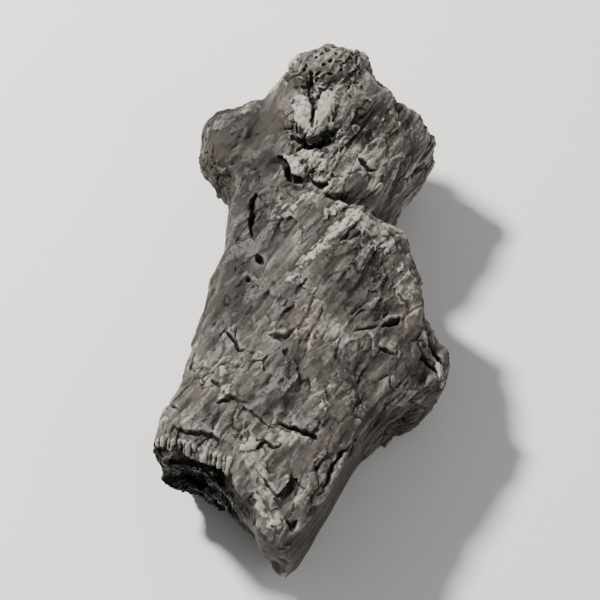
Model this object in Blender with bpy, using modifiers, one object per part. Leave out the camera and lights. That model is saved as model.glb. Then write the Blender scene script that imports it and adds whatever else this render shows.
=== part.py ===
"""A lump of hardwood charcoal, about 165 mm long, lying on three low points.

It is one piece: a split billet that charred through and then broke off at both ends. X is across
the lump, Y along it and Z up. The narrow tongue is at -Y and the stepped crown at +Y. The origin
is under the middle of the lump, on the surface that it lies on.
"""

import math

import bmesh
import bpy
from mathutils import Matrix, Vector, noise

MM = 0.001

# The billet's grain runs slantwise along the lump, and rises a little to +Y.
GRAIN_BEARING = math.radians(56)
GRAIN_RISE = math.radians(5)

# The even mesh that the relief is raised on, and the size of the finished solid.
SKIN_CELL = 1.2 * MM
WEAR_PASSES = 4
TRIANGLES = 11000

# Chunks of the billet. A rim is a ring of (x, y, height) in mm round the chunk's upper face. crest
# is the height of its middle over the rim's mean, belly how far its sides swell out half-way down,
# sole the height of its underside, and waist the width of the underside as a share of the rim's.
SOLE = 4.5
RING_DEPTHS = (0.3, 0.7, 1.0)
INNER_RING = 0.5
INNER_RING_LIFT = 0.25
CHUNKS = {
    "slab": {
        "rim": (
            (-37, -52, 39), (-28, -56, 40), (-18, -60, 40), (-12, -71, 37), (-8, -77, 35),
            (-3, -82, 33), (2, -74, 34), (9, -63, 37), (17, -45, 36), (26, -33, 34),
            (33, -20, 33), (33, -9, 33), (32, -2, 34), (30, 6, 35), (29, 12, 36), (25, 16, 39),
            (18, 18, 41), (8, 23, 42), (-2, 28, 40), (-12, 32, 38), (-18, 26, 36), (-21, 7, 36),
            (-25, -12, 36), (-31, -30, 37), (-35, -42, 38),
        ),
        "crest": 2.5, "belly": 2.0, "sole": SOLE, "waist": 0.82,
    },
    "shoulder": {
        "rim": (
            (14, -46, 34), (24, -36, 31), (33, -31, 28), (39, -27, 26), (40, -23, 27),
            (37, -16, 29), (34, -8, 31), (33, 0, 32), (30, 10, 34), (14, 14, 34), (4, -16, 33),
        ),
        "crest": 1.0, "belly": 1.0, "sole": SOLE, "waist": 0.80,
    },
    "neck": {
        "rim": (
            (-18, 34, 34), (-19, 20, 33), (-12, 4, 33), (16, 4, 33), (25, 12, 30),
            (23, 27, 25), (29, 42, 24), (24, 56, 34), (-8, 58, 38), (-20, 48, 34),
        ),
        "crest": 2.0, "belly": 2.0, "sole": SOLE, "waist": 0.86,
    },
    "head": {
        "rim": (
            (-19, 55, 35), (-17, 46, 37), (-11, 37, 38), (-4, 31, 39), (4, 29, 39), (14, 29, 38),
            (21, 33, 35), (26, 42, 34), (29, 52, 36), (25, 59, 42), (19, 65, 46), (15, 70, 48),
            (9, 73, 49), (3, 71, 48.5), (-3, 66, 45.5), (-10, 60, 41),
        ),
        "crest": 2.5, "belly": 6.0, "sole": SOLE, "waist": 0.86,
    },
    "upper_plate": {
        "rim": (
            (-8, 55, 43), (-5, 50, 43.5), (-1, 47, 44), (1, 44, 43.5), (4, 42, 43.5), (6, 44, 44),
            (9, 45, 43.5), (14, 47, 43), (20, 53, 43), (20, 62, 45), (10, 70, 47), (-4, 64, 44.5),
        ),
        "crest": 2.5, "belly": 0.0, "sole": 36, "waist": 0.97,
    },
    "lower_plate": {
        "rim": (
            (-10, 43, 40), (-6, 38, 40.5), (-3, 34, 40.5), (1, 31, 40), (4, 34, 40),
            (10, 36, 39), (13, 44, 40), (4, 54, 42), (-8, 52, 41.5),
        ),
        "crest": 1.0, "belly": 0.0, "sole": 30, "waist": 0.97,
    },
    "right_flank": {
        "rim": (
            (20, 34, 29), (29, 41, 26), (35, 49, 26), (38, 54, 29), (36, 58, 32), (29, 61, 37),
            (16, 58, 42),
        ),
        "crest": 0.5, "belly": 1.5, "sole": 6, "waist": 0.78,
    },
}

# Rounded bosses on the chunks: centre, radii and turn about Z, in mm and degrees.
BOSSES = {
    "left_lobe": {"centre": (-17, 50, 25), "radii": (10, 16, 14), "turn": 28},
    "lobe_sweep": {"centre": (-11, 53.5, 28), "radii": (10, 13, 12), "turn": 40},
    "crown_knob": {"centre": (8, 66, 42), "radii": (12, 8, 10), "turn": 10},
}

# Hollows broken out of the chunks, in the same terms.
HOLLOWS = {
    "burnt_pocket": {"centre": (-29, -63, 16), "radii": (12, 13, 18), "turn": -20},
    "under_tongue": {"centre": (-19, -76, 11), "radii": (9, 15, 15), "turn": 35},
}

# Relief: how far the parts of it stand out, and the size of their cells along and across the grain.
WAVE_DEPTH = 1.5 * MM
WAVE_SIZE = 30 * MM
PLATE_STEP = 1.2 * MM
PLATE_TILT = 1.2 * MM
PLATE_LONG = 17 * MM
PLATE_WIDE = 9 * MM
RIDGE_DEPTH = 1.5 * MM
RIDGE_LONG = 60 * MM
RIDGE_WIDE = 7 * MM
RIDGE_CREST = 0.6
RIDGE_FALL = 2.0
STUB_DEPTH = 2.6 * MM
STUB_WIDE = 7 * MM

# How far a face must turn, up or across the grain, for each kind of relief to fade in.
BROKEN_FACE = (0.55, 0.85)
UPPER_FACE = (0.3, 0.8)
CRACKED_FACE = (0.1, 0.4)
RESTING_FACE = (0.2, 0.7)

# The cracks that show from a step away: points (x, y) in mm, width and depth.
CRACKS = {
    "upper_ledge": {"path": ((-2, 46), (1, 42), (4, 40.5), (9, 44)), "width": 2.8, "depth": 2.5},
    "lower_ledge": {"path": ((-7, 37), (-3, 33), (1, 30), (5, 33)), "width": 2.4, "depth": 2.2},
    "slab_edge": {"path": ((-12, 25), (-11, 15)), "width": 2.4, "depth": 1.8},
    "flank_split": {"path": ((15, -48), (9, -58), (2, -72)), "width": 1.8, "depth": 1.4},
    "tongue_crack": {"path": ((-5, -49), (1, -52), (7, -48)), "width": 1.8, "depth": 1.4},
    "right_crack": {"path": ((22, -12), (27, -9)), "width": 2.4, "depth": 1.8},
    "left_crack": {"path": ((-20, -14), (-14, -24)), "width": 2.2, "depth": 1.5},
}

# The three low swells that the lump lies on: x, y and reach in mm, and how far they stand down.
SWELLS = ((-19, -30, 26), (19, -12, 24), (2, 58, 28))
SWELL_DROP = 5.8
SWELL_UNEVEN = 0.25
SWELL_UNEVEN_SIZE = 11 * MM
SWELL_EVEN_MIDDLE = 0.5

FLOOR_SIZE = 300 * MM


def clear_scene():
    for obj in list(bpy.data.objects):
        bpy.data.objects.remove(obj)


def new_collection(name):
    collection = bpy.data.collections.new(name)
    bpy.context.scene.collection.children.link(collection)
    return collection


def add_helper(name, mesh, collection):
    helper = bpy.data.objects.new(name, mesh)
    collection.objects.link(helper)
    helper.hide_render = True
    helper.display_type = "WIRE"
    return helper


def mesh_of(bm, name):
    mesh = bpy.data.meshes.new(name)
    bm.to_mesh(mesh)
    bm.free()
    return mesh


def chunk_mesh(name, rim, crest, belly, sole, waist):
    """A rough block: a loft from its rim down through its belly to its sole, with a crested top."""
    top = [Vector(point) * MM for point in rim]
    middle = sum(top, Vector()) / len(top)
    peak = middle + Vector((0, 0, crest * MM))
    lift = Vector((0, 0, INNER_RING_LIFT * crest * MM))
    rings = [[point.lerp(peak, INNER_RING) + lift for point in top], top]
    for depth in RING_DEPTHS:
        width = 1 + (waist - 1) * depth ** 2
        ring = []
        for point in top:
            out = (point - middle).to_2d()
            out = out * width + out.normalized() * belly * MM * math.sin(math.pi * depth)
            height = point.z + (sole * MM - point.z) * depth
            ring.append(Vector((middle.x + out.x, middle.y + out.y, height)))
        rings.append(ring)
    bm = bmesh.new()
    rows = [[bm.verts.new(point) for point in ring] for ring in rings]
    count = len(top)
    for upper, lower in zip(rows, rows[1:]):
        for i in range(count):
            j = (i + 1) % count
            bm.faces.new((upper[i], upper[j], lower[j], lower[i]))
    tip = bm.verts.new(peak)
    for i in range(count):
        bm.faces.new((rows[0][(i + 1) % count], rows[0][i], tip))
    bm.faces.new(rows[-1])
    bmesh.ops.triangulate(bm, faces=bm.faces)
    bmesh.ops.recalc_face_normals(bm, faces=bm.faces)
    return mesh_of(bm, name)


def boss_mesh(name, centre, radii, turn):
    """A rounded knob or scoop."""
    bm = bmesh.new()
    bmesh.ops.create_icosphere(bm, subdivisions=3, radius=MM)
    bmesh.ops.scale(bm, vec=radii, verts=bm.verts)
    spin = Matrix.Rotation(math.radians(turn), 3, "Z")
    bmesh.ops.rotate(bm, cent=(0, 0, 0), matrix=spin, verts=bm.verts)
    bmesh.ops.translate(bm, vec=Vector(centre) * MM, verts=bm.verts)
    return mesh_of(bm, name)


def evaluated_mesh(obj):
    """The object's mesh with its modifiers applied."""
    graph = bpy.context.evaluated_depsgraph_get()
    return bpy.data.meshes.new_from_object(obj.evaluated_get(graph))


def join_with(obj, name, operation, collection):
    """Adds a Boolean of everything in a collection."""
    cut = obj.modifiers.new(name, "BOOLEAN")
    cut.operation = operation
    cut.operand_type = "COLLECTION"
    cut.collection = collection


def add_even_skin(obj, name, cell):
    skin = obj.modifiers.new(name, "REMESH")
    skin.mode = "VOXEL"
    skin.voxel_size = cell


def rough_billet():
    """All the chunks and bosses joined in one body, hollowed, on an even mesh with worn edges."""
    chunks = new_collection("chunks")
    hollows = new_collection("hollows")
    for name, chunk in CHUNKS.items():
        add_helper(name, chunk_mesh(name, **chunk), chunks)
    for name, boss in BOSSES.items():
        add_helper(name, boss_mesh(name, **boss), chunks)
    for name, hollow in HOLLOWS.items():
        add_helper(name, boss_mesh(name, **hollow), hollows)
    billet = chunks.objects["slab"]
    chunks.objects.unlink(billet)
    bpy.context.scene.collection.objects.link(billet)
    join_with(billet, "chunks", "UNION", chunks)
    join_with(billet, "hollows", "DIFFERENCE", hollows)
    add_even_skin(billet, "even_skin", SKIN_CELL)
    wear = billet.modifiers.new("wear", "SMOOTH")
    wear.iterations = WEAR_PASSES
    mesh = evaluated_mesh(billet)
    for helper in [billet, *chunks.objects, *hollows.objects]:
        bpy.data.objects.remove(helper)
    return mesh


def smooth_step(low, high, value):
    """0 below low, 1 above high, with a soft change between them."""
    share = min(max((value - low) / (high - low), 0), 1)
    return share * share * (3 - 2 * share)


def grain_point(point):
    """A point's place along the grain, across it and up from it."""
    turn = Matrix.Rotation(GRAIN_RISE, 3, "Y") @ Matrix.Rotation(-GRAIN_BEARING, 3, "Z")
    return turn @ point


def cell_height(place, step, tilt):
    """The height of the tilted plate whose cell holds a place, with a step at each cell's edge."""
    centre = noise.voronoi(place)[1][0]
    chance = noise.cell_vector(centre * 31)
    return step * chance.x + tilt * (place - centre).dot(chance)


def plates(grained):
    """Flaky plates, longer along the grain."""
    place = Vector((grained.x / PLATE_LONG, grained.y / PLATE_WIDE, grained.z / PLATE_WIDE))
    return cell_height(place, PLATE_STEP, PLATE_TILT)


def ridges(grained):
    """Long ridges and fissures of split wood."""
    place = Vector((grained.x / RIDGE_LONG, grained.y / RIDGE_WIDE, grained.z / RIDGE_WIDE))
    return RIDGE_DEPTH * (RIDGE_CREST - RIDGE_FALL * abs(noise.noise(place)))


def stubs(grained):
    """Blunt stubs of wood of unlike lengths, where the billet broke across the grain."""
    place = Vector((0, grained.y / STUB_WIDE, grained.z / STUB_WIDE))
    return cell_height(place, STUB_DEPTH, STUB_DEPTH / 2)


def near_path(point, path):
    """How far a point is from a path, in mm, seen from above."""
    spot = Vector((point.x, point.y)) / MM
    nearest = math.inf
    for start, end in zip(path, path[1:]):
        start, end = Vector(start), Vector(end)
        run = end - start
        share = min(max((spot - start).dot(run) / run.length_squared, 0), 1)
        nearest = min(nearest, (spot - start - run * share).length)
    return nearest


def crack_depth(point, normal):
    """How deep the cracks are at a point of the upper side."""
    deepest = 0
    for crack in CRACKS.values():
        away = near_path(point, crack["path"])
        deepest = max(deepest, crack["depth"] * MM * (1 - smooth_step(0, crack["width"], away)))
    return deepest * smooth_step(*CRACKED_FACE, normal.z)


def swell_drop(point, normal):
    """How far the underside reaches down at a point, so that the lump lies on its low swells."""
    reach = 0
    for x, y, spread in SWELLS:
        away = math.hypot(point.x / MM - x, point.y / MM - y) / spread
        uneven = SWELL_UNEVEN * noise.noise(point / SWELL_UNEVEN_SIZE)
        uneven *= min(away / SWELL_EVEN_MIDDLE, 1)
        reach = max(reach, 1 - smooth_step(0, 1, away + uneven))
    return reach * SWELL_DROP * MM * smooth_step(*RESTING_FACE, -normal.z)


def raise_relief(mesh):
    """Moves each point of the skin in or out by the relief that its face has."""
    normals = [v.normal.copy() for v in mesh.vertices]
    for v, normal in zip(mesh.vertices, normals):
        point = v.co.copy()
        grained = grain_point(point)
        across_grain = abs(grain_point(normal).x)
        broken = smooth_step(*BROKEN_FACE, across_grain)
        upper = smooth_step(*UPPER_FACE, abs(normal.z))
        height = WAVE_DEPTH * noise.noise(point / WAVE_SIZE)
        height += broken * stubs(grained)
        height += (1 - broken) * (upper * plates(grained) + (1 - upper) * ridges(grained))
        height -= crack_depth(point, normal)
        v.co = point + normal * height
        v.co.z -= swell_drop(point, normal)


def floor_cutter(collection):
    """A block whose top is the surface that the lump lies on."""
    bm = bmesh.new()
    bmesh.ops.create_cube(bm, size=FLOOR_SIZE)
    bmesh.ops.translate(bm, vec=(0, 0, -FLOOR_SIZE / 2), verts=bm.verts)
    return add_helper("floor_cutter", mesh_of(bm, "floor_cutter"), collection)


def centre_on_origin(mesh):
    """Puts the middle of the lump's outline over the origin."""
    xs = [v.co.x for v in mesh.vertices]
    ys = [v.co.y for v in mesh.vertices]
    mesh.transform(Matrix.Translation((-(min(xs) + max(xs)) / 2, -(min(ys) + max(ys)) / 2, 0)))


def charcoal():
    material = bpy.data.materials.new("charcoal")
    material.use_nodes = True
    shader = material.node_tree.nodes["Principled BSDF"]
    shader.inputs["Base Color"].default_value = (0.055, 0.051, 0.048, 1)
    shader.inputs["Roughness"].default_value = 0.72
    shader.inputs["Metallic"].default_value = 0
    material.diffuse_color = (0.16, 0.155, 0.15, 1)
    return material


def triangle_count(mesh):
    return sum(len(polygon.vertices) - 2 for polygon in mesh.polygons)


def main():
    clear_scene()
    lump_parts = new_collection("charcoal_lump")
    cutters = new_collection("cutters")
    mesh = rough_billet()
    raise_relief(mesh)
    lump = bpy.data.objects.new("lump", mesh)
    lump_parts.objects.link(lump)
    add_even_skin(lump, "closed_skin", SKIN_CELL)
    lump.data = evaluated_mesh(lump)
    lump.modifiers.clear()
    centre_on_origin(lump.data)
    lump.data.materials.append(charcoal())
    thin = lump.modifiers.new("facets", "DECIMATE")
    thin.ratio = TRIANGLES / triangle_count(lump.data)
    feet = lump.modifiers.new("flat_feet", "BOOLEAN")
    feet.operation = "DIFFERENCE"
    feet.object = floor_cutter(cutters)


main()
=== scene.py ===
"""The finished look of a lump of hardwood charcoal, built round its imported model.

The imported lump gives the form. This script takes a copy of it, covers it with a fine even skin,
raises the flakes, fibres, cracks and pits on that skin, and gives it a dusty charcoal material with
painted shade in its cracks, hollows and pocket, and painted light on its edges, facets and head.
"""

import math
from types import SimpleNamespace

import bpy
import numpy as np
from bpy.props import FloatProperty, FloatVectorProperty, IntProperty, PointerProperty
from mathutils import Matrix, Vector, noise


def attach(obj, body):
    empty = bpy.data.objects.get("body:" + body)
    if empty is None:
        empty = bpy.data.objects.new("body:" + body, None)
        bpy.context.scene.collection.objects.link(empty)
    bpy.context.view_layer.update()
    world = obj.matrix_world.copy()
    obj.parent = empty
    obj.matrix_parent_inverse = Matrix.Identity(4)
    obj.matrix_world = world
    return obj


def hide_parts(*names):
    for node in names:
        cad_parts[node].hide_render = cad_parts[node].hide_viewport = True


bl_info = {
    "name": "Charcoal Lump",
    "version": (1, 0, 0),
    "blender": (4, 5, 0),
    "location": "View3D > Sidebar > Charcoal",
    "description": "Models a lump of hardwood charcoal with its flakes, cracks and ash",
    "category": "Add Mesh",
}

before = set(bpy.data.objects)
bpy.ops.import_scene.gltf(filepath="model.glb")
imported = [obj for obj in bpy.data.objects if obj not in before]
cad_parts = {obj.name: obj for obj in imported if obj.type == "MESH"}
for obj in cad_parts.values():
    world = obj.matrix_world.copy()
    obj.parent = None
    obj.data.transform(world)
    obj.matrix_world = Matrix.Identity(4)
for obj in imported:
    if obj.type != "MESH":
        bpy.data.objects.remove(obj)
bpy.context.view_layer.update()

MM = 0.001
LUMP_NODE = "lump"
CHANCE_SEED = 7

# The origin of the lump's drawing, in its own frame. Places below are in mm on that drawing.
DRAWING_ORIGIN = Vector((-1.24, 1.53, 0))

# The billet's grain runs slantwise along the lump, and rises a little to +Y.
GRAIN_RISE = math.radians(5)
GRAIN_BEARING = math.radians(56)
GRAIN_TURN = Matrix.Rotation(GRAIN_RISE, 3, "Y") @ Matrix.Rotation(-GRAIN_BEARING, 3, "Z")

# Cracks and pits that stand out on the upper side, in mm: width, depth, how far the lip on the left
# of the path stands out, and the points of the path.
CRACKS = {
    "upper_v": (1.4, 3.4, 0.8, ((-2.6, 46.2), (0.6, 43.6), (3.1, 41.3), (5.0, 42.8), (7.2, 44.4))),
    "crown_crease": (1.3, 1.4, -0.3, ((3.4, 45.0), (3.9, 51.0), (2.6, 57.0), (3.2, 61.0))),
    "lower_v": (1.5, 3.2, 0.7, ((-5.9, 38.6), (-4.1, 35.5), (-2.8, 32.5), (0.9, 31.1))),
    "lower_v_end": (1.1, 1.8, 0.7, ((3.2, 31.8), (5.6, 29.2), (7.5, 30.7))),
    "mid_step": (0.9, 1.4, 0.5, ((6.0, 41.1), (8.1, 39.1))),
    "head_short": (0.9, 1.6, 0.5, ((16.0, 39.4), (18.2, 37.9), (20.9, 37.5))),
    "slab_upright": (1.0, 2.0, 0, ((-12.8, 28.0), (-13.0, 19.7), (-13.7, 12.5))),
    "hole_a": (1.4, 2.4, 0, ((-11.3, 5.5), (-10.4, 2.4))),
    "hole_b": (1.2, 1.6, 0, ((-14.0, -2.1), (-13.4, -3.6))),
    "left_arc": (1.0, 1.9, 0.4, ((-20.2, -18.8), (-17.9, -21.9), (-16.7, -24.7), (-14.6, -25.6))),
    "scab": (1.3, 1.3, 0.4, ((-7.9, -21.8), (-4.8, -23.2), (-2.8, -21.6))),
    "scab_foot": (1.1, 1.3, 0, ((-4.2, -26.1), (-3.5, -28.9))),
    "right_slit": (1.3, 2.6, 0.6, ((22.0, -16.4), (24.1, -15.1), (26.8, -13.1))),
    "right_tail": (0.7, 1.1, 0, ((14.0, -18.9), (18.0, -17.6), (21.3, -16.3))),
    "right_low": (0.9, 1.3, 0.3, ((21.0, -23.1), (25.1, -25.3))),
    "shell_inner": (1.0, 1.8, 0, ((32.0, -20.8), (34.9, -24.1), (37.3, -26.3))),
    "shell_outer": (0.8, 1.4, 0, ((33.6, -15.0), (36.6, -19.8), (38.6, -24.2))),
    "curl": (0.8, 1.7, 0.5, ((-4.9, -48.9), (-1.2, -49.4), (2.3, -51.0), (4.2, -53.0))),
    "net_a": (0.5, 0.9, 0.4, (
        (-14.2, -58.8), (-11.5, -56.5), (-9.2, -54.5), (-6.3, -55.8), (-4.2, -54.3))),
    "net_b": (0.5, 0.8, 0, (
        (-16.5, -42.6), (-14.5, -45.0), (-12.2, -47.0), (-9.3, -49.1), (-6.7, -50.6))),
    "net_c": (0.45, 0.6, 0.2, ((-11.7, -62.6), (-9.1, -65.6), (-6.3, -68.2), (-3.2, -66.8))),
    "net_d": (0.4, 0.5, 0, ((-1.3, -63.3), (1.9, -67.1))),
    "flank_split": (0.6, 1.4, 0, (
        (15.3, -48.4), (12.1, -54.2), (9.2, -58.9), (7.4, -62.9), (4.9, -68.6))),
    "flank_hole": (0.9, 1.2, 0, ((4.6, -60.7), (4.9, -62.1))),
    "tooth_line": (0.9, 1.6, 0.5, ((-32.6, -50.2), (-29.4, -52.0), (-25.4, -52.6), (-20.0, -54.6))),
    "tip_pit": (1.1, 1.3, 0, ((-3.6, -75.2), (-2.3, -77.0), (-0.8, -75.2))),
    "left_nick": (0.9, 1.3, 0, ((-35.3, -41.0), (-32.4, -44.2))),
    "lobe_pit": (1.1, 1.5, 0, ((-17.5, 61.5), (-15.8, 60.6))),
    "cross_a": (0.7, 1.0, 0.3, ((-21.8, -43.0), (-17.5, -41.5), (-12.6, -43.8))),
    "cross_b": (0.7, 1.0, 0, ((-23.7, -34.4), (-21.0, -39.0))),
}

# Fresh bright chips and worn ledges on the upper side, their brightness partly painted highlight on
# lit facets: width and rise in mm, how much of the relief under them they flatten, and the points of
# the path.
PALE_CHIPS = {
    "beads": (1.9, 0.55, 0, ((-2.8, -3.6), (2.0, 2.4), (5.6, 5.4), (9.0, 10.2), (13.2, 14.2))),
    "short_beads": (1.3, 0.4, 0, ((17.8, 5.8), (21.9, 10.0))),
    "spark": (1.6, 0.6, 0, ((27.2, 2.2), (28.0, 3.4))),
    "ledge": (1.6, 0.7, 0, ((7.0, 17.0), (12.0, 21.5), (18.9, 23.4))),
    "corner_low": (3.0, 0.4, 0.4, ((17.0, 13.5), (27.5, 14.5))),
    "corner_high": (2.6, 0.5, 0.4, ((14.0, 17.5), (25.0, 8.5))),
    "feather_a": (1.5, 0.5, 0.4, ((-8.5, 18.0), (-5.0, 25.5))),
    "feather_b": (1.7, 0.5, 0.4, ((-4.6, 17.5), (-1.0, 22.0), (2.5, 25.0))),
    "shell_a": (3.2, 0.7, 0.8, ((-0.2, 54.5), (1.2, 47.5))),
    "shell_b": (3.2, 0.8, 0.8, ((8.2, 55.0), (6.4, 47.5))),
    "chip_a": (2.8, 0.5, 0.5, ((1.0, 39.5), (5.0, 36.0))),
    "chip_b": (2.6, 0.5, 0.5, ((-2.6, 36.0), (-0.5, 34.0))),
    "lobe_rim": (3.2, 0.4, 0.2, ((-22.5, 52.5), (-19.0, 56.5), (-13.5, 58.0))),
    "lobe_top": (2.2, 0.3, 0, ((-7.0, 63.0), (-2.0, 67.0))),
    "curl_face": (3.0, 0.3, 0.9, ((-3.0, -53.0), (0.5, -52.0))),
    "tongue_facet": (3.6, 0.5, 1.0, ((-12.5, -57.0), (-11.0, -63.5))),
    "tip_facet": (4.0, 0.5, 1.0, ((-9.5, -67.5), (-7.0, -74.5))),
    "low_spark": (1.3, 0.4, 0, ((-20.6, -41.0), (-19.4, -38.8))),
    "low_dot": (1.0, 0.4, 0, ((4.8, -44.4), (5.8, -43.6))),
    "shell_rim": (1.5, 0.5, 0, ((33.0, -17.0), (36.4, -22.0), (37.6, -27.0))),
}

# The broken edge over the burnt pocket, with its row of wood stubs, in mm: its ends, the stubs'
# spacing and reach, the heights that they fade in between, and how far they rise and are set back.
# The stubs' pale row is partly painted highlight on the lit rim of the edge.
TEETH_FROM = Vector((-36, -53))
TEETH_TO = Vector((-18, -60))
TEETH_PITCH = 1.45
TEETH_REACH = 4.2
TEETH_FOOT = (35.5, 37.0)
TOOTH_RISE = 1.1
TOOTH_SET_BACK = 0.3

# The burnt pocket under that edge, where the break is fresh, black and glossy; its black is partly
# painted shadow.
POCKET_AT = Vector((-28, -60, 15))
POCKET_RADII = Vector((17, 14, 26))
POCKET_TURN = math.radians(-20)

# Places on the head that look unlike the rest: the smooth left lobe and the pitted crown.
LOBE_AT = Vector((-16, 52))
LOBE_RADII = Vector((12, 20))
LOBE_TURN = math.radians(32)
CROWN_AT = Vector((7, 65))
CROWN_REACH = 15

# The brightest, most splintered part of the head, under the crown; its brightness is partly painted
# highlight.
CRAG_AT = Vector((4, 45))
CRAG_RADII = Vector((13, 15))

# How far a face has to turn each way for what it carries to fade in.
UP_FACE = (0.25, 0.75)
CROSS_GRAIN_FACE = (0.5, 0.85)
DRAWN_FACE = (0.0, 0.3)
RIGHT_FACE = (0.1, 0.5)
LEFT_FACE = (0.0, 0.4)
TOOTH_FACE = (0.1, 0.6)
BACK_FACE = (-0.5, 0.2)

# Where each oval place fades out, as shares of its radii.
POCKET_FADE = (1.15, 1.45)
LOBE_FADE = (0.7, 1.1)
CROWN_FADE = (0.5, 1.0)
CRAG_FADE = (0.6, 1.15)

# The stretches of the drawing, in mm, over which other places fade in.
POCKET_TOP = (29, 33)
FLANK_ALONG = (-44, -52)
STRIP_ACROSS = (-20, -16)
STRIP_ALONG = (-54, -60)
WORN_LEFT_ACROSS = (-6, -20)
WORN_LEFT_ALONG = (-30, -10)
# The head's right side, lightened as painted light where it turns away from the key light.
HEAD_RIGHT_ACROSS = (8, 14)
HEAD_RIGHT_ALONG = (26, 34)

# How far, in mm, the skin has to be off the surface that the lump lies on for its relief to fade in,
# and how much of that a face turned up counts for.
RESTING_CLEARANCE = (0.3, 2.0)
CLEAR_OF_UP_FACE = 2

# How much calmer the relief is on each smooth place.
LOBE_CALM = 0.3
FLANK_CALM = 0.8
STRIP_CALM = 0.75
FACET_CALM = 0.85

# Soft patterns: size in mm, where the noise starts, and the values that it fades between.
PATTERNS = {
    "worn": (9, Vector((3, 1, 7)), (-0.1, 0.35)),
    "gaps": (6, Vector((9, 2, 4)), (0.05, 0.35)),
    "pitted": (5, Vector((0, 0, 9)), (-0.4, 0.0)),
    "brown": (17, Vector((5, 5, 5)), (0.05, 0.35)),
}
PATCH_SIZE = 13
CRAG_GAPS = 0.25
LOBE_BROWN = 0.3

# Three sizes of flake: how many fit in a large one, where the noise starts, and the step and lean as
# shares of the flake step.
FLAKES = {
    "plate": (1.0, Vector((0, 0, 0)), 0.5, 1.5),
    "chip": (2.2, Vector((7, 3, 5)), 0.4, 1.3),
    "crumb": (5.0, Vector((2, 8, 1)), 0.2, 0.55),
}

# How far each bend moves the flakes' edges and how fine it is, and how much of a plate's or a chip's
# height shows everywhere and is added where the wood is worn.
FLAKE_BENDS = ((0.16, 1.3), (0.05, 5.0))
PLATE_SHOWN, PLATE_WORN = 0.5, 0.4
CHIP_SHOWN, CHIP_WORN = 0.25, 0.5

# How rough broken places are, the seams between flakes and their painted shade, and where fresh chips
# and painted glints lie.
CELL_SPREAD = 31
SPLINTERED = 0.3
CRUMBLY = 0.8
SEAM_WIDE = 0.06
CHIP_SEAM_WIDE = 0.08
CHIP_SEAM_SHARE = 0.6
SEAM_DARK = 0.55
TONES = (0.6, 0.6, 0.4)
FRESH_CHIP = (0.35, 0.7)
FRESH_ON_CRAG = 0.4
GLINT_CRUMB = (0.6, 0.7)
GLINT_CHIP = (-0.2, 0.4)
GLINT_SHARE = 0.9

# Wood that runs along the grain, in mm: length, width and height of its streaks, ridges and fibres.
STREAK_LONG, STREAK_WIDE, STREAK_RISE = 9, 2.6, 0.2
RIDGE_LONG, RIDGE_WIDE, RIDGE_RISE = 34, 3.2, 0.9
FIBRE_LONG = 8
FIBRE_WORN_ON_BREAK = 0.6
FISSURE_WIDE, FISSURE_DEPTH, FISSURE_DARK = 0.10, 0.9, 0.8
FISSURE_CLOSED_ON_FLANK = 0.7

# Broken wood, in mm: its grit, the ends of its stubs and its burst pores.
GRIT_SIZE, FINE_GRIT_SIZE, FINE_GRIT_SHARE = 1.3, 0.6, 0.7
STUB_SIZE, STUB_RISE, STUB_MIDDLE = 2.1, 0.7, 0.5
PORE_SIZE, PORE_DEPTH, PORE_WALL = 1.9, 1.2, 0.4
PORE_BEND, PORE_BEND_SIZE = 0.35, 1.4
PORE_LEAST, PORE_SPREAD = 0.2, 0.4
PORES_ON_BREAK = 0.45

# The jagged run of a drawn crack: how far each bend moves it, the bend's size and where it starts.
CRACK_JAGS = ((0.55, 1.6, 4), (0.9, 4.5, 8))
CRACK_END_WIDTH = 0.3
CRACK_END_DEPTH = 0.25
CRACK_BED = 0.1
# How deep a drawn crack must cut for its painted shade to darken it fully.
CRACK_DARK = (0.15, 1.0)
LIP_ABOVE = (-0.2, 0.2)
LIP_REACH = (0.5, 6.5)
REACH_OF_DRAWING = 7

# The angular cells that a pale chip is made of, in mm, and the width that it fades out over.
CHIP_CELL, CHIP_CELL_START, CHIP_JAG = 1.5, 6, 1.8
CHIP_FADE = (0.5, 0.8)
CHIP_RISE, CHIP_LEAST = 0.7, 0.4

# The stubs' uneven spacing and length.
TOOTH_JAG, TOOTH_JAG_SIZE = 0.9, 1.9
TOOTH_LENGTH, TOOTH_UNEVEN = 0.75, 1.3
TEETH_PAST_ENDS = 0.05
TEETH_FULL = 0.6

# How rough the grain of the skin is everywhere, and what each place adds.
ROUGHNESS = {"even": 0.35, "worn": 0.5, "crag": 0.35, "crown": 0.4, "broken": 0.5}

# How much dust lies everywhere, and what each place adds or takes; the crag, pale chips, teeth and
# glints add painted highlight, and the head's right side gets painted light.
DUST_AND_LIGHT = {
    "even": 0.02, "up": 0.20, "tone": 0.32, "patchy": 0.40, "crag": 0.26, "worn_left": -0.62,
    "head_right": 0.28, "back": -0.3, "pale": 0.55, "teeth": 0.75, "broken": -0.2, "lobe": -0.44,
    "glint": 0.5,
}

# The making of the skin: mm within which the copy's points merge, rounds of easing, and the rounds
# and depths in mm that its edges and hollows are read at, for painted highlights on edges and
# painted shade in hollows.
MERGE_WITHIN = 0.01
EASE_ROUNDS = 14
EDGE_ROUNDS, EDGE_DEPTH = 3, 0.05
HOLLOW_ROUNDS, HOLLOW_DEPTH = 40, 0.5

# The noises of the material: scale, detail and roughness.
BLOTCHES = (220, 5, 0.6)
SPECKS = (1250, 5, 0.8)
FIBRES = (1500, 5, 0.75)
STREAKS = (420, 4, 0.6)
GRAIN_STRETCH = (8.0, 1.0, 1.0)

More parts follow.
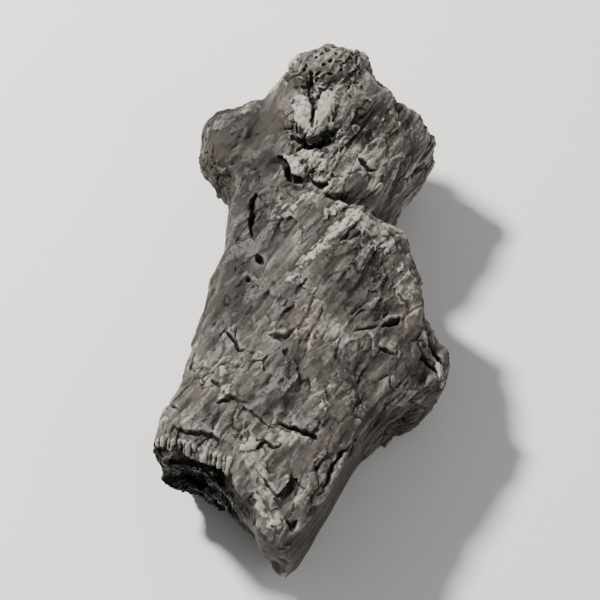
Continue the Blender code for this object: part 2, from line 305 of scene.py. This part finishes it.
# What each of them adds to the dust and painted light, with painted highlights on edges and painted
# shade in hollows, and the amounts that its colours fade between.
TEXTURE_DUST = 0.9
EDGE_HIGHLIGHT_AND_WEAR = 0.22
HOLLOW_SHADE = 0.38
STREAK_DUST = 1.1
DUST_AND_LIGHT_MIDDLE = 1.9
DUSTY_FROM = (-0.25, 0.55)
PALE_FROM = (0.45, 1.25)
DARK_FROM = (0.1, 0.75)
BURNT_AND_SHADOWED_FROM = (0.3, 0.9)
WARM_SHARE = 0.35

# Roughness and sheen of the skin, and the depth of its fine bumps in mm.
TEXTURE_RANGE, ROUGH_RANGE = (1.2, 1.8), (0.42, 0.72)
FRESH_SHINE = 0.8
SHINE_DEPTH = 0.34
FRESH_RANGE, SHEEN_RANGE = (0.2, 1.0), (0.2, 0.5)
GLOSS_RANGE, GLOSS_SHEEN = (0.3, 1.0), (1.0, 0.15)
BUMP_STRENGTH, BUMP_DEPTH = 0.6, 0.4

# The studio, in metres and watts.
FLOOR_SIZE, FLOOR_ROUGHNESS = 6, 0.9
KEY_LIGHT = {"place": (-0.55, 0.4, 0.72), "size": 0.14, "power": 25, "colour": (1, 0.965, 0.915)}
FILL_LIGHT = {"place": (0.7, -0.5, 0.5), "size": 0.9, "power": 3, "colour": (1, 1, 1)}
STUDIO_GLOW = 0.3
AIM_HEIGHT = 25
SENSOR_WIDTH = 36


class CharcoalSizes(bpy.types.PropertyGroup):
    skin_cell: FloatProperty(
        name="Skin Cell", description="Spacing of the skin that the relief is raised on",
        default=0.38 * MM, min=0.2 * MM, unit="LENGTH")
    skin_triangles: IntProperty(
        name="Skin Triangles", description="Size of the finished skin", default=194000, min=1000)
    sharp_from: FloatProperty(
        name="Sharp From", description="Edges between chips are sharp from this angle on",
        default=math.radians(46), subtype="ANGLE")
    flake_long: FloatProperty(
        name="Flake Length", description="Length of a large flake along the grain",
        default=13 * MM, unit="LENGTH")
    flake_wide: FloatProperty(
        name="Flake Width", description="Width of a large flake", default=5 * MM, unit="LENGTH")
    flake_step: FloatProperty(
        name="Flake Step", description="How far one flake stands over the next",
        default=0.46 * MM, unit="LENGTH")
    crack_depth: FloatProperty(
        name="Crack Depth", description="Depth of the small cracks between flakes",
        default=0.5 * MM, unit="LENGTH")
    fibre_wide: FloatProperty(
        name="Fibre Width", description="Spacing of the wood fibres",
        default=1.1 * MM, unit="LENGTH")
    fibre_depth: FloatProperty(
        name="Fibre Depth", description="Depth of the grooves between fibres",
        default=0.2 * MM, unit="LENGTH")
    grit_depth: FloatProperty(
        name="Grit Depth", description="Height of the fine grit on broken faces",
        default=0.08 * MM, unit="LENGTH")


class CharcoalColours(bpy.types.PropertyGroup):
    # Char also colours the painted shade in cracks, seams, fissures, pores and the pocket.
    char: FloatVectorProperty(
        name="Char", description="Clean charcoal in the cracks", subtype="COLOR", size=3,
        default=(0.015, 0.014, 0.013))
    # The pocket's near-black below is partly painted shadow.
    burnt_and_shadowed: FloatVectorProperty(
        name="Burnt", description="Glossy black in the burnt pocket", subtype="COLOR", size=3,
        default=(0.004, 0.004, 0.004))
    dusty: FloatVectorProperty(
        name="Dusty Face", description="Charcoal under a film of its own dust", subtype="COLOR",
        size=3, default=(0.078, 0.0705, 0.062))
    # The pale colour also carries painted highlights on edges, chips, the stub row and glints.
    pale: FloatVectorProperty(
        name="Pale Facet", description="Fresh facets and ash on high edges", subtype="COLOR",
        size=3, default=(0.34, 0.315, 0.28))
    warm: FloatVectorProperty(
        name="Warm Tint", description="Brown tint of half-charred wood", subtype="COLOR", size=3,
        default=(0.056, 0.044, 0.034))


class CharcoalStage(bpy.types.PropertyGroup):
    floor_colour: FloatVectorProperty(
        name="Floor", description="Colour of the floor", subtype="COLOR", size=3,
        default=(0.80, 0.79, 0.77))
    camera_rise: FloatProperty(
        name="Camera Rise", description="Camera angle above the horizon", subtype="ANGLE",
        default=math.radians(55))
    camera_distance: FloatProperty(
        name="Camera Distance", description="From the camera to the middle of the lump",
        default=0.6, unit="LENGTH")
    camera_lens: FloatProperty(
        name="Camera Lens", description="Focal length on a 36 mm sensor", default=130.0)


def smooth_step(low, high, value):
    """0 below low, 1 above high, with a soft change between them."""
    share = min(max((value - low) / (high - low), 0.0), 1.0)
    return share * share * (3 - 2 * share)


def weighed(weights, **shares):
    """The sum of some shares, each times its weight."""
    return sum(weights[name] * share for name, share in shares.items())


def in_oval(spot, centre, radii, turn=0.0):
    """0 at an oval's middle and 1 on its edge, for a spot in two or three dimensions."""
    away = spot - centre
    flat = away.to_2d()
    flat.rotate(Matrix.Rotation(-turn, 2))
    away.x, away.y = flat
    return math.sqrt(sum((a / r) ** 2 for a, r in zip(away, radii)))


def pattern(name, spot, lift=0.0):
    """How much of a soft pattern shows at a spot, where lift brings more of it out."""
    size, start, fade = PATTERNS[name]
    return smooth_step(*fade, noise.noise(spot / size + start) + lift)


def along_grain(grained, long, wide):
    """Noise that is stretched along the grain."""
    return noise.noise(Vector((grained.x / long, grained.y / wide, grained.z / wide)))


def chips(place, step, lean):
    """Flat chips of broken wood, each at its own height and lean: height, chance and edge distance."""
    bent = place.copy()
    for shift, fineness in FLAKE_BENDS:
        bent += shift * noise.noise_vector(place * fineness)
    distances, centres = noise.voronoi(bent)[:2]
    chance = noise.cell_vector(centres[0] * CELL_SPREAD) * 2 - Vector((1, 1, 1))
    height = step * chance.x + lean * (bent - centres[0]).dot(chance)
    return height, chance, distances[1] - distances[0]


def path_runs(path):
    """Each stretch of a path: its start, run and squared length, and the shares it starts and adds."""
    points = [Vector(point) for point in path]
    count = len(points) - 1
    return [(a, b - a, (b - a).length_squared, i / count, 1 / count)
            for i, (a, b) in enumerate(zip(points, points[1:]))]


def path_box(path):
    """The box that a path can be felt in: left, right, near and far."""
    across, along = [p[0] for p in path], [p[1] for p in path]
    return (min(across) - REACH_OF_DRAWING, max(across) + REACH_OF_DRAWING,
            min(along) - REACH_OF_DRAWING, max(along) + REACH_OF_DRAWING)


DRAWN_CRACKS = [(width, depth, lip, path_runs(path), path_box(path))
                for width, depth, lip, path in CRACKS.values()]
DRAWN_CHIPS = [(width, rise, flat, path_runs(path), path_box(path))
               for width, rise, flat, path in PALE_CHIPS.values()]


def drawn_relief(spot):
    """The drawn cracks at a spot: how deep they cut, and how far their lips stand out, in mm."""
    cut, rise = 0.0, 0.0
    bent = spot.copy()
    for shift, size, start in CRACK_JAGS:
        bent += noise.noise_vector(Vector((spot.x / size, spot.y / size, start))).to_2d() * shift
    for width, depth, lip, runs, (left, right, near, far) in DRAWN_CRACKS:
        if not (left < spot.x < right and near < spot.y < far):
            continue
        nearest, share, above = math.inf, 0.0, 0.0
        for start, run, squared, before, part in runs:
            reach = min(max((bent - start).dot(run) / squared, 0), 1)
            away = (bent - start - run * reach).length
            if away < nearest:
                nearest, share = away, before + part * reach
                above = run.cross(bent - start) / math.sqrt(squared)
        taper = math.sqrt(max(math.sin(math.pi * share), 0.0))
        wide = width * (CRACK_END_WIDTH + (1 - CRACK_END_WIDTH) * taper)
        deep = depth * (CRACK_END_DEPTH + (1 - CRACK_END_DEPTH) * taper)
        cut = max(cut, deep * (1 - smooth_step(CRACK_BED * wide, wide, nearest)))
        on_lip = smooth_step(*LIP_ABOVE, above) * (1 - smooth_step(*LIP_REACH, nearest))
        rise += lip * taper * on_lip
    return cut, rise


def pale_chip(spot):
    """The drawn pale chips at a spot: how far they rise in mm, how pale they are with fresh facets and
    painted highlight, and how flat they are.
    """
    cell = Vector((spot.x / CHIP_CELL, spot.y / CHIP_CELL, CHIP_CELL_START))
    chance = noise.cell_vector(noise.voronoi(cell)[1][0] * CELL_SPREAD)
    bent = spot + chance.to_2d() * CHIP_JAG - Vector((CHIP_JAG / 2, CHIP_JAG / 2))
    rise, pale, flat = 0.0, 0.0, 0.0
    for width, height, flatness, runs, (left, right, near, far) in DRAWN_CHIPS:
        if not (left < spot.x < right and near < spot.y < far):
            continue
        nearest = min(
            (bent - start - run * min(max((bent - start).dot(run) / squared, 0), 1)).length
            for start, run, squared, *_ in runs
        )
        share = 1 - smooth_step(CHIP_FADE[0] * width, CHIP_FADE[1] * width, nearest)
        rise = max(rise, CHIP_RISE * height * share * (CHIP_LEAST + chance.z))
        pale = max(pale, share)
        flat = max(flat, flatness * share)
    return rise, pale, flat


def stub_row(plan, normal):
    """The row of stubs along the broken edge over the pocket: its height, and how near it is."""
    run = TEETH_TO - TEETH_FROM
    share = (plan - TEETH_FROM).dot(run) / run.length_squared
    if not -TEETH_PAST_ENDS < share < 1 + TEETH_PAST_ENDS:
        return 0.0, 0.0
    away = (plan - TEETH_FROM - run * share).length
    near = 1 - smooth_step(TEETH_REACH * TEETH_FULL, TEETH_REACH, away)
    near *= smooth_step(*TOOTH_FACE, -normal.y)
    jag = noise.noise(Vector((plan.x / TOOTH_JAG_SIZE, plan.y / TOOTH_JAG_SIZE, 2)))
    along = (share * run.length + TOOTH_JAG * jag) / TEETH_PITCH
    length = TOOTH_LENGTH + TOOTH_UNEVEN * noise.noise(Vector((along, 0.5, 0.5)))
    wave = abs(math.sin(math.pi * along))
    return near * (TOOTH_RISE * wave * length - TOOTH_SET_BACK), near


def place_at(point, normal):
    """Where a point of the skin lies on the lump, and how much of each kind of place it is."""
    spot = point / MM - DRAWING_ORIGIN
    plan = spot.to_2d()
    up = smooth_step(*UP_FACE, normal.z)
    broken = smooth_step(*CROSS_GRAIN_FACE, abs((GRAIN_TURN @ normal).x)) * (1 - up)
    side = (1 - up) * (1 - broken)
    pocket = 1 - smooth_step(*POCKET_FADE, in_oval(spot, POCKET_AT, POCKET_RADII, POCKET_TURN))
    pocket *= 1 - up * smooth_step(*POCKET_TOP, spot.z)
    lobe = up * (1 - smooth_step(*LOBE_FADE, in_oval(plan, LOBE_AT, LOBE_RADII, LOBE_TURN)))
    crown = 1 - smooth_step(*CROWN_FADE, (plan - CROWN_AT).length / CROWN_REACH)
    crag = 1 - smooth_step(*CRAG_FADE, in_oval(plan, CRAG_AT, CRAG_RADII))
    flank = (1 - up) * smooth_step(*RIGHT_FACE, normal.x) * smooth_step(*FLANK_ALONG, plan.y)
    strip = (1 - up) * smooth_step(*STRIP_ACROSS, plan.x) * smooth_step(*STRIP_ALONG, plan.y)
    strip *= smooth_step(*LEFT_FACE, -normal.x)
    broken *= 1 - strip
    drawn = smooth_step(*DRAWN_FACE, normal.z)
    chip_rise, pale, flat = pale_chip(plan)
    calm = 1 - max(
        LOBE_CALM * lobe, FLANK_CALM * flank, STRIP_CALM * strip, FACET_CALM * drawn * flat)
    worn = pattern("worn", spot)
    rough = calm * weighed(ROUGHNESS, even=1, worn=worn, crag=crag, crown=crown, broken=broken)
    return SimpleNamespace(
        spot=spot, plan=plan, grained=GRAIN_TURN @ spot, up=up, broken=broken, side=side,
        pocket=pocket, lobe=lobe, crown=crown, crag=crag, flank=flank, drawn=drawn,
        chip_rise=chip_rise, pale=pale, calm=calm, worn=worn, rough=rough)


def flake_relief(sizes, here):
    """The flakes at a place: height in mm, the seams between them, and the chance of each size."""
    long, wide = sizes.flake_long / MM, sizes.flake_wide / MM
    step = sizes.flake_step / MM
    place = Vector((here.grained.x / long, here.grained.y / wide, here.grained.z / wide))
    (plate, *plate_kept), (chip, *chip_kept), (crumb, *crumb_kept) = (
        chips(place * many + start, high * step, lean * step)
        for many, start, high, lean in FLAKES.values()
    )
    worn = here.worn
    plate *= PLATE_SHOWN + PLATE_WORN * worn
    height = here.calm * (plate + chip * (CHIP_SHOWN + CHIP_WORN * worn))
    height += CRUMBLY * here.rough * crumb
    height += SPLINTERED * (here.crag * here.calm + here.broken) * (chip + crumb)
    (plate_chance, seam), (chip_chance, chip_seam) = plate_kept, chip_kept
    gaps = pattern("gaps", here.spot, CRAG_GAPS * here.crag)
    seams = (1 - smooth_step(0.0, SEAM_WIDE, seam)) * gaps
    small_seams = (1 - smooth_step(0.0, CHIP_SEAM_WIDE, chip_seam)) * gaps * worn
    seams = max(seams, CHIP_SEAM_SHARE * small_seams) * here.calm
    height -= sizes.crack_depth / MM * seams
    return height, seams, (plate_chance, chip_chance, crumb_kept[0])


def wood_relief(sizes, here):
    """The streaks, fibres, grit, ridges and fissures of the wood: height in mm, and the fissures."""
    calm, broken = here.calm, here.broken
    streak = 1 - 2 * abs(along_grain(here.grained, STREAK_LONG, STREAK_WIDE))
    fibres = along_grain(here.grained, FIBRE_LONG, sizes.fibre_wide / MM)
    grit = noise.noise(here.spot / GRIT_SIZE)
    grit += FINE_GRIT_SHARE * noise.noise(here.spot / FINE_GRIT_SIZE)
    ridge = along_grain(here.grained, RIDGE_LONG, RIDGE_WIDE)
    fissure = here.side * (1 - FISSURE_CLOSED_ON_FLANK * here.flank)
    fissure *= 1 - smooth_step(0.0, FISSURE_WIDE, abs(ridge))
    height = STREAK_RISE * streak * calm * (1 - broken)
    height += sizes.fibre_depth / MM * fibres * (1 - FIBRE_WORN_ON_BREAK * broken)
    height += sizes.grit_depth / MM * grit * here.rough
    height += here.side * calm * RIDGE_RISE * ridge - FISSURE_DEPTH * fissure
    return height, fissure


def break_relief(here):
    """The stubs and burst pores where the wood broke across: height in mm, and the pores."""
    stub = noise.voronoi(here.spot / STUB_SIZE)[0][0]
    height = STUB_RISE * here.broken * here.calm * (STUB_MIDDLE - stub)
    foam = here.spot / PORE_SIZE + PORE_BEND * noise.noise_vector(here.spot / PORE_BEND_SIZE)
    distances, centres = noise.voronoi(foam)[:2]
    size = PORE_LEAST + PORE_SPREAD * noise.cell_vector(centres[0] * CELL_SPREAD).x
    pore = max(here.crown, PORES_ON_BREAK * here.broken) * pattern("pitted", here.spot)
    pore *= 1 - smooth_step(PORE_WALL * size, size, distances[0])
    return height - PORE_DEPTH * pore, pore


def dust_and_light_at(here, normal, chances, tooth, toothed, glint):
    """How much dust lies on a place, with painted highlights on the crag, pale chips, stub row and
    glints, and painted light on the head's right side.
    """
    tone = sum(share * chance.y for share, chance in zip(TONES, chances))
    worn_left = here.up * smooth_step(*WORN_LEFT_ACROSS, here.plan.x)
    head_right = smooth_step(*HEAD_RIGHT_ACROSS, here.plan.x)
    return weighed(
        DUST_AND_LIGHT, even=1, up=here.up, tone=tone * here.calm,
        # The crag's extra paleness is partly painted highlight.
        patchy=noise.noise(here.spot / PATCH_SIZE), crag=here.crag,
        worn_left=worn_left * smooth_step(*WORN_LEFT_ALONG, here.plan.y),
        # Painted light on the head's right side.
        head_right=head_right * smooth_step(*HEAD_RIGHT_ALONG, here.plan.y),
        back=(1 - here.up) * smooth_step(*BACK_FACE, normal.y), pale=here.drawn * here.pale,
        # The stub row's paleness is partly painted highlight.
        teeth=toothed * (1 + tooth), broken=here.broken, lobe=here.lobe * (1 - here.pale),
        glint=here.pocket * (1 - toothed) * glint)


def relief_at(sizes, point, normal):
    """Height of the skin in metres at a point, and its dust and painted light, groove painted shade,
    gloss and painted shadow, brown and fresh shares.
    """
    here = place_at(point, normal)
    flake_height, seams, chances = flake_relief(sizes, here)
    wood_height, fissure = wood_relief(sizes, here)
    break_height, pore = break_relief(here)
    cut, lip = drawn_relief(here.plan)
    tooth, toothed = stub_row(here.plan, normal)
    over_foot = smooth_step(*TEETH_FOOT, here.spot.z)
    toothed *= over_foot
    height = flake_height + wood_height + break_height
    height += here.drawn * (lip - cut + here.chip_rise) + tooth * over_foot

    # The skin is left flat where the lump lies on its surface.
    clearance = point.z / MM + CLEAR_OF_UP_FACE * max(normal.z, 0)
    height *= smooth_step(*RESTING_CLEARANCE, clearance)
    # Seams, fissures, pores and cracks are darkened towards char as painted shade.
    groove = max(SEAM_DARK * seams, FISSURE_DARK * fissure, pore)
    groove = max(groove, smooth_step(*CRACK_DARK, here.drawn * cut))
    _, chip_chance, crumb_chance = chances
    # Glints are painted highlights: pale flecks in the pocket, left less black.
    glint = smooth_step(*GLINT_CRUMB, crumb_chance.z) * smooth_step(*GLINT_CHIP, chip_chance.x)
    dust_and_light = dust_and_light_at(here, normal, chances, tooth, toothed, glint)
    # The pocket share makes the skin glossy and darkens it as painted shadow.
    gloss_and_shadow = here.pocket * (1 - toothed) * (1 - GLINT_SHARE * glint)
    brown = pattern("brown", here.spot, LOBE_BROWN * here.lobe)
    fresh = smooth_step(*FRESH_CHIP, chip_chance.z + FRESH_ON_CRAG * here.crag) * here.calm
    return height * MM, dust_and_light, groove, gloss_and_shadow, brown, fresh


def lump_skin(sizes):
    """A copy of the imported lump, merged and covered with a fine even skin."""
    bpy.ops.object.select_all(action="DESELECT")
    lump = bpy.data.objects.new("charcoal_lump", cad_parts[LUMP_NODE].data.copy())
    bpy.context.scene.collection.objects.link(lump)
    bpy.context.view_layer.objects.active = lump
    lump.select_set(True)
    bpy.ops.object.mode_set(mode="EDIT")
    bpy.ops.mesh.select_all(action="SELECT")
    bpy.ops.mesh.remove_doubles(threshold=MERGE_WITHIN * MM)
    bpy.ops.object.mode_set(mode="OBJECT")
    skin = lump.modifiers.new("even_skin", "REMESH")
    skin.mode = "VOXEL"
    skin.voxel_size = sizes.skin_cell
    bpy.ops.object.modifier_apply(modifier=skin.name)
    ease = lump.modifiers.new("eased_facets", "SMOOTH")
    ease.iterations = EASE_ROUNDS
    bpy.ops.object.modifier_apply(modifier=ease.name)
    return lump


def mesh_numbers(elements, name, width, kind=float):
    """One property of a mesh's vertices or edges as rows of numbers."""
    rows = np.empty(len(elements) * width, kind)
    elements.foreach_get(name, rows)
    return rows.reshape(-1, width)


def eased(places, ends, rounds):
    """Points drawn towards the middle of their neighbours, some rounds over."""
    count = len(places)
    neighbours = np.bincount(ends.ravel(), minlength=count)[:, None]
    for _ in range(rounds):
        total = np.stack([
            np.bincount(ends[:, 0], places[ends[:, 1], axis], count)
            + np.bincount(ends[:, 1], places[ends[:, 0], axis], count)
            for axis in range(3)
        ], axis=1)
        places = (places + total / neighbours) / 2
    return places


def keep_values(mesh, name, values):
    """Stores one number for each point, under a name that the material reads."""
    mesh.attributes.new(name, "FLOAT", "POINT").data.foreach_set("value", values)


def raise_relief(lump, sizes):
    """Moves the skin by its relief, and keeps on it what the material reads."""
    noise.seed_set(CHANCE_SEED)
    mesh = lump.data
    normals = mesh_numbers(mesh.vertices, "normal", 3)
    kept = []
    for v, normal in zip(mesh.vertices, map(Vector, normals)):
        height, *values = relief_at(sizes, v.co, normal)
        v.co = v.co + normal * height
        v.co.z = max(v.co.z, 0.0)
        kept.append(values)
    for name, values in zip(("dust_and_light", "groove", "gloss_and_shadow", "brown", "fresh"), np.array(kept).T):
        keep_values(mesh, name, values)
    places = mesh_numbers(mesh.vertices, "co", 3)
    ends = mesh_numbers(mesh.edges, "vertices", 2, int)
    near = eased(places, ends, EDGE_ROUNDS)
    wide = eased(near, ends, HOLLOW_ROUNDS)
    # Edges read here get painted highlights and wear, and hollows get painted shade.
    for name, even, depth in (("edge", near, EDGE_DEPTH), ("cavity", wide, HOLLOW_DEPTH)):
        out = ((places - even) * normals).sum(axis=1) / (depth * MM)
        keep_values(mesh, name, np.clip(out, -1, 1))


def thin_skin(lump, sizes):
    """Keeps the skin's detail on fewer triangles."""
    thin = lump.modifiers.new("thin_skin", "DECIMATE")
    thin.ratio = min(1.0, sizes.skin_triangles / (2 * len(lump.data.polygons)))
    bpy.ops.object.modifier_apply(modifier=thin.name)
    bpy.ops.object.shade_smooth()
    lump.data.set_sharp_from_angle(angle=sizes.sharp_from)


def add_node(tree, kind, place, **settings):
    node = tree.nodes.new(kind)
    node.location = place
    for name, value in settings.items():
        setattr(node, name, value)
    return node


def attribute_node(tree, name, place):
    return add_node(tree, "ShaderNodeAttribute", place, attribute_name=name).outputs["Fac"]


def maths(tree, operation, place, *values, clamp=False):
    node = add_node(tree, "ShaderNodeMath", place, operation=operation, use_clamp=clamp)
    for socket, value in zip(node.inputs, values):
        if isinstance(value, (int, float)):
            socket.default_value = value
        else:
            tree.links.new(value, socket)
    return node.outputs[0]


def ramp(tree, place, value, source, target=(0.0, 1.0)):
    """A soft change from one range of values to another."""
    node = add_node(tree, "ShaderNodeMapRange", place, interpolation_type="SMOOTHSTEP")
    tree.links.new(value, node.inputs["Value"])
    node.inputs["From Min"].default_value = source[0]
    node.inputs["From Max"].default_value = source[1]
    node.inputs["To Min"].default_value = target[0]
    node.inputs["To Max"].default_value = target[1]
    return node.outputs["Result"]


def mix_colour(tree, place, share, first, second):
    node = add_node(tree, "ShaderNodeMix", place, data_type="RGBA")
    sockets = (node.inputs[0], node.inputs[6], node.inputs[7])
    for socket, value in zip(sockets, (share, first, second)):
        if isinstance(value, bpy.types.NodeSocket):
            tree.links.new(value, socket)
        else:
            socket.default_value = value
    return node.outputs[2]


def noise_node(tree, place, vector, scale, detail, roughness):
    node = add_node(tree, "ShaderNodeTexNoise", place)
    tree.links.new(vector, node.inputs["Vector"])
    node.inputs["Scale"].default_value = scale
    node.inputs["Detail"].default_value = detail
    node.inputs["Roughness"].default_value = roughness
    return node.outputs["Fac"]


def charcoal_material(colours):
    """Dusty charcoal: black painted shade in cracks and hollows, grey on worn faces, pale ash and
    painted highlights on edges and facets, glossy black with painted shadow in the pocket.
    """
    material = bpy.data.materials.new("charcoal")
    material.use_nodes = True
    tree = material.node_tree
    shader = tree.nodes["Principled BSDF"]
    char, burnt_and_shadowed, dusty, pale, warm = (
        (*colour, 1)
        for colour in (colours.char, colours.burnt_and_shadowed, colours.dusty, colours.pale, colours.warm)
    )
    coords = add_node(tree, "ShaderNodeTexCoord", (-1800, 0)).outputs["Object"]
    mapping = add_node(tree, "ShaderNodeMapping", (-1600, -200), vector_type="TEXTURE")
    mapping.inputs["Rotation"].default_value = GRAIN_TURN.inverted().to_euler()
    mapping.inputs["Scale"].default_value = GRAIN_STRETCH
    tree.links.new(coords, mapping.inputs["Vector"])
    grained = mapping.outputs["Vector"]

    dust_and_light = attribute_node(tree, "dust_and_light", (-1400, 500))
    groove = attribute_node(tree, "groove", (-1400, 350))
    gloss_and_shadow = attribute_node(tree, "gloss_and_shadow", (-1400, 200))
    edge = attribute_node(tree, "edge", (-1400, 50))
    cavity = attribute_node(tree, "cavity", (-1400, -100))
    brown = attribute_node(tree, "brown", (-1400, -250))
    fresh = attribute_node(tree, "fresh", (-1600, -350))
    blotches = noise_node(tree, (-1400, -400), coords, *BLOTCHES)
    specks = noise_node(tree, (-1400, -550), coords, *SPECKS)
    fibres = noise_node(tree, (-1400, -700), grained, *FIBRES)
    streaks = noise_node(tree, (-1400, -850), grained, *STREAKS)
    texture = maths(tree, "ADD", (-1100, -400), specks, fibres)
    texture = maths(tree, "ADD", (-950, -400), texture, blotches)

    dust_light_and_shade = maths(tree, "MULTIPLY_ADD", (-800, 300), texture, TEXTURE_DUST, dust_and_light)
    # Edges are lightened as painted highlight and wear, and hollows darkened as painted shade.
    dust_light_and_shade = maths(tree, "MULTIPLY_ADD", (-650, 300), edge, EDGE_HIGHLIGHT_AND_WEAR, dust_light_and_shade)
    dust_light_and_shade = maths(tree, "MULTIPLY_ADD", (-500, 300), cavity, HOLLOW_SHADE, dust_light_and_shade)
    dust_light_and_shade = maths(tree, "MULTIPLY_ADD", (-350, 300), streaks, STREAK_DUST, dust_light_and_shade)
    dust_light_and_shade = maths(tree, "SUBTRACT", (-200, 300), dust_light_and_shade, DUST_AND_LIGHT_MIDDLE)
    # Grooves and the pocket take the char colour as painted shade.
    dark = maths(tree, "MAXIMUM", (-500, 150), groove, gloss_and_shadow, clamp=True)
    is_dust_and_light = ramp(tree, (-250, 500), dust_light_and_shade, DUSTY_FROM)
    is_warm = maths(tree, "MULTIPLY", (-250, 50), brown, WARM_SHARE)
    is_pale = ramp(tree, (-250, 350), dust_light_and_shade, PALE_FROM)
    is_dark = ramp(tree, (-150, 150), dark, DARK_FROM)
    # The pocket's near-black is partly painted shadow.
    is_burnt_and_shadowed = ramp(tree, (-150, 0), gloss_and_shadow, BURNT_AND_SHADOWED_FROM)
    face = mix_colour(tree, (-100, 400), is_dust_and_light, char, dusty)
    face = mix_colour(tree, (0, 400), is_warm, face, warm)
    face = mix_colour(tree, (100, 400), is_pale, face, pale)
    face = mix_colour(tree, (200, 400), is_dark, face, char)
    face = mix_colour(tree, (300, 400), is_burnt_and_shadowed, face, burnt_and_shadowed)
    tree.links.new(face, shader.inputs["Base Color"])

    rough = ramp(tree, (-250, -100), texture, TEXTURE_RANGE, ROUGH_RANGE)
    shine = maths(tree, "MULTIPLY", (-400, -250), fresh, FRESH_SHINE)
    shine = maths(tree, "MAXIMUM", (-250, -250), gloss_and_shadow, shine)
    shine = maths(tree, "MULTIPLY", (-100, -100), shine, SHINE_DEPTH)
    rough = maths(tree, "SUBTRACT", (50, -100), rough, shine, clamp=True)
    tree.links.new(rough, shader.inputs["Roughness"])
    sheen = ramp(tree, (-100, -250), fresh, FRESH_RANGE, SHEEN_RANGE)
    in_pocket = ramp(tree, (-100, -400), gloss_and_shadow, GLOSS_RANGE, GLOSS_SHEEN)
    sheen = maths(tree, "MULTIPLY", (50, -250), sheen, in_pocket)
    tree.links.new(sheen, shader.inputs["Specular IOR Level"])

    fine = add_node(tree, "ShaderNodeBump", (0, -400))
    fine.inputs["Strength"].default_value = BUMP_STRENGTH
    fine.inputs["Distance"].default_value = BUMP_DEPTH * MM
    tree.links.new(texture, fine.inputs["Height"])
    tree.links.new(fine.outputs["Normal"], shader.inputs["Normal"])
    return material


def plain_material(name, colour, roughness):
    material = bpy.data.materials.new(name)
    material.use_nodes = True
    shader = material.node_tree.nodes["Principled BSDF"]
    shader.inputs["Base Color"].default_value = (*colour, 1)
    shader.inputs["Roughness"].default_value = roughness
    return material


def add_area_light(name, aim, place, size, power, colour):
    bpy.ops.object.light_add(type="AREA", location=place)
    light = bpy.context.object
    light.name = name
    light.data.shape = "DISK"
    light.data.size = size
    light.data.energy = power
    light.data.color = colour
    light.rotation_euler = (Vector(place) - Vector(aim)).to_track_quat("Z", "Y").to_euler()


class MESH_OT_charcoal_lump(bpy.types.Operator):
    """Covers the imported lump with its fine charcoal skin"""

    bl_idname = "mesh.charcoal_lump"
    bl_label = "Charcoal Lump"

    def execute(self, context):
        sizes = context.scene.charcoal_sizes
        lump = lump_skin(sizes)
        raise_relief(lump, sizes)
        thin_skin(lump, sizes)
        lump.data.materials.clear()
        lump.data.materials.append(charcoal_material(context.scene.charcoal_colours))
        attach(lump, "root")
        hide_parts(LUMP_NODE)
        return {"FINISHED"}


class SCENE_OT_charcoal_stage(bpy.types.Operator):
    """Adds the pale floor, the soft studio light and the camera"""

    bl_idname = "scene.charcoal_stage"
    bl_label = "Charcoal Stage"

    def execute(self, context):
        stage = context.scene.charcoal_stage
        bpy.ops.object.select_all(action="DESELECT")
        bpy.ops.mesh.primitive_plane_add(size=FLOOR_SIZE, location=(0, 0, 0))
        floor = context.object
        floor.name = "floor"
        colour = plain_material("floor", stage.floor_colour, FLOOR_ROUGHNESS)
        floor.data.materials.append(colour)
        aim = (DRAWING_ORIGIN + Vector((0, 0, AIM_HEIGHT))) * MM
        add_area_light("key", aim, **KEY_LIGHT)
        add_area_light("fill", aim, **FILL_LIGHT)
        world = bpy.data.worlds.new("studio")
        world.use_nodes = True
        glow = world.node_tree.nodes["Background"]
        glow.inputs["Color"].default_value = (1, 1, 1, 1)
        glow.inputs["Strength"].default_value = STUDIO_GLOW
        context.scene.world = world
        rise, away = stage.camera_rise, stage.camera_distance
        back = Vector((0, -math.cos(rise), math.sin(rise)))
        bpy.ops.object.camera_add(location=aim + back * away)
        camera = context.object
        camera.rotation_euler = back.to_track_quat("Z", "Y").to_euler()
        camera.data.sensor_width = SENSOR_WIDTH
        camera.data.lens = stage.camera_lens
        context.scene.camera = camera
        return {"FINISHED"}


class VIEW3D_PT_charcoal(bpy.types.Panel):
    bl_label = "Charcoal Lump"
    bl_space_type = "VIEW_3D"
    bl_region_type = "UI"
    bl_category = "Charcoal"

    def draw(self, context):
        layout = self.layout
        layout.operator(MESH_OT_charcoal_lump.bl_idname)
        layout.operator(SCENE_OT_charcoal_stage.bl_idname)
        for group in (context.scene.charcoal_sizes, context.scene.charcoal_colours,
                      context.scene.charcoal_stage):
            box = layout.box()
            for name in group.bl_rna.properties.keys():
                if name not in {"rna_type", "name"}:
                    box.prop(group, name)


CLASSES = (
    CharcoalSizes, CharcoalColours, CharcoalStage, MESH_OT_charcoal_lump,
    SCENE_OT_charcoal_stage, VIEW3D_PT_charcoal,
)


def register():
    for made in CLASSES:
        bpy.utils.register_class(made)
    bpy.types.Scene.charcoal_sizes = PointerProperty(type=CharcoalSizes)
    bpy.types.Scene.charcoal_colours = PointerProperty(type=CharcoalColours)
    bpy.types.Scene.charcoal_stage = PointerProperty(type=CharcoalStage)


def unregister():
    del bpy.types.Scene.charcoal_stage
    del bpy.types.Scene.charcoal_colours
    del bpy.types.Scene.charcoal_sizes
    for made in reversed(CLASSES):
        bpy.utils.unregister_class(made)


def main():
    register()
    bpy.ops.mesh.charcoal_lump()
    bpy.ops.scene.charcoal_stage()


if __name__ == "__main__":
    main()
